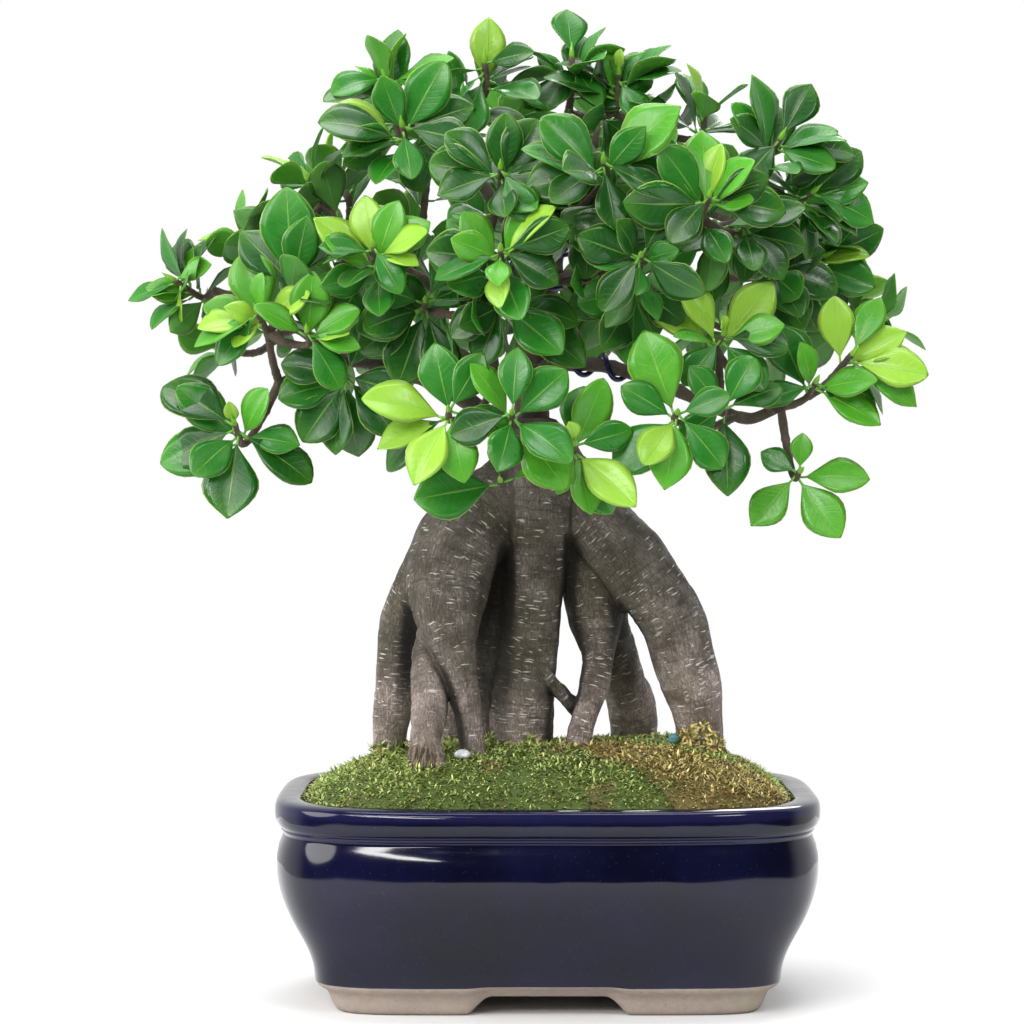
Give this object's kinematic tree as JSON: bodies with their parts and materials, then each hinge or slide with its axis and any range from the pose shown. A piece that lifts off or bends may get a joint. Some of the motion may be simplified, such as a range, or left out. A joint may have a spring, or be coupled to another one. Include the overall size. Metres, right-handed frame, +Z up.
{
  "type": "potted bonsai tree",
  "caption": "Ginseng ficus bonsai with thick aerial roots spread over a mossy mound, and a leafy crown, in a footed glazed pot.",
  "frame": {"origin": "on the surface the feet stand on, under the middle of the box round the whole", "axes": "+Z up, +X to the right and +Y to the back, along the pot's length and width"},
  "size_m": [0.295, 0.2022, 0.3643],
  "materials": {
    "glaze": "gloss",
    "plastic_mesh": "matte",
    "soil": "matte",
    "bark": "satin",
    "young_bark": "matte",
    "green_moss": "matte",
    "golden_moss": "matte",
    "leaf": "satin",
    "wire": "satin",
    "stone": "matte",
    "feed": "matte"
  },
  "bodies": {
    "root": {"pot": "glaze", "drain_screen_left": "plastic_mesh", "drain_screen_right": "plastic_mesh", "soil": "soil", "rootstock": "bark", "feed_pellet": "feed", "pebble": "stone", "branch_leader": "young_bark", "branch_right_high": "young_bark", "branch_left_high": "young_bark", "branch_left_low": "young_bark", "branch_far_left": "young_bark", "branch_right_low": "young_bark", "branch_top_left": "young_bark", "branch_front_stem": "young_bark", "branch_back": "young_bark", "branch_back_left": "young_bark", "branch_back_right": "young_bark", "training_wire_leader": "wire", "training_wire_right": "wire", "shoot_lower_left": "leaf", "shoot_far_left": "leaf", "shoot_left_front": "leaf", "shoot_left_hanging": "leaf", "shoot_left_crown": "leaf", "shoot_centre_inner": "leaf", "shoot_centre_lime": "leaf", "shoot_top_left": "leaf", "shoot_top_lime": "leaf", "shoot_top_inner": "leaf", "shoot_top_right": "leaf", "shoot_centre_crown": "leaf", "shoot_right_crown": "leaf", "shoot_right_shoulder": "leaf", "shoot_right_upper": "leaf", "shoot_right_edge": "leaf", "shoot_round_leaf": "leaf", "shoot_lime_trio": "leaf", "shoot_far_right": "leaf", "shoot_lower_right": "leaf", "shoot_right_low": "leaf", "shoot_low_centre_right": "leaf", "shoot_low_centre": "leaf", "shoot_low_left": "leaf", "shoot_top_middle": "leaf", "shoot_right_side": "leaf", "shoot_back_right_low": "leaf", "shoot_back_right_high": "leaf", "shoot_back_centre_low": "leaf", "shoot_back_centre_high": "leaf", "shoot_back_middle": "leaf", "shoot_back_left_low": "leaf", "shoot_back_left_high": "leaf", "shoot_left_back": "leaf", "shoot_left_side": "leaf", "shoot_left_top": "leaf", "moss_front": "green_moss", "moss_golden": "golden_moss", "moss_right_back": "green_moss", "moss_left": "green_moss"}
  },
  "joints": []
}
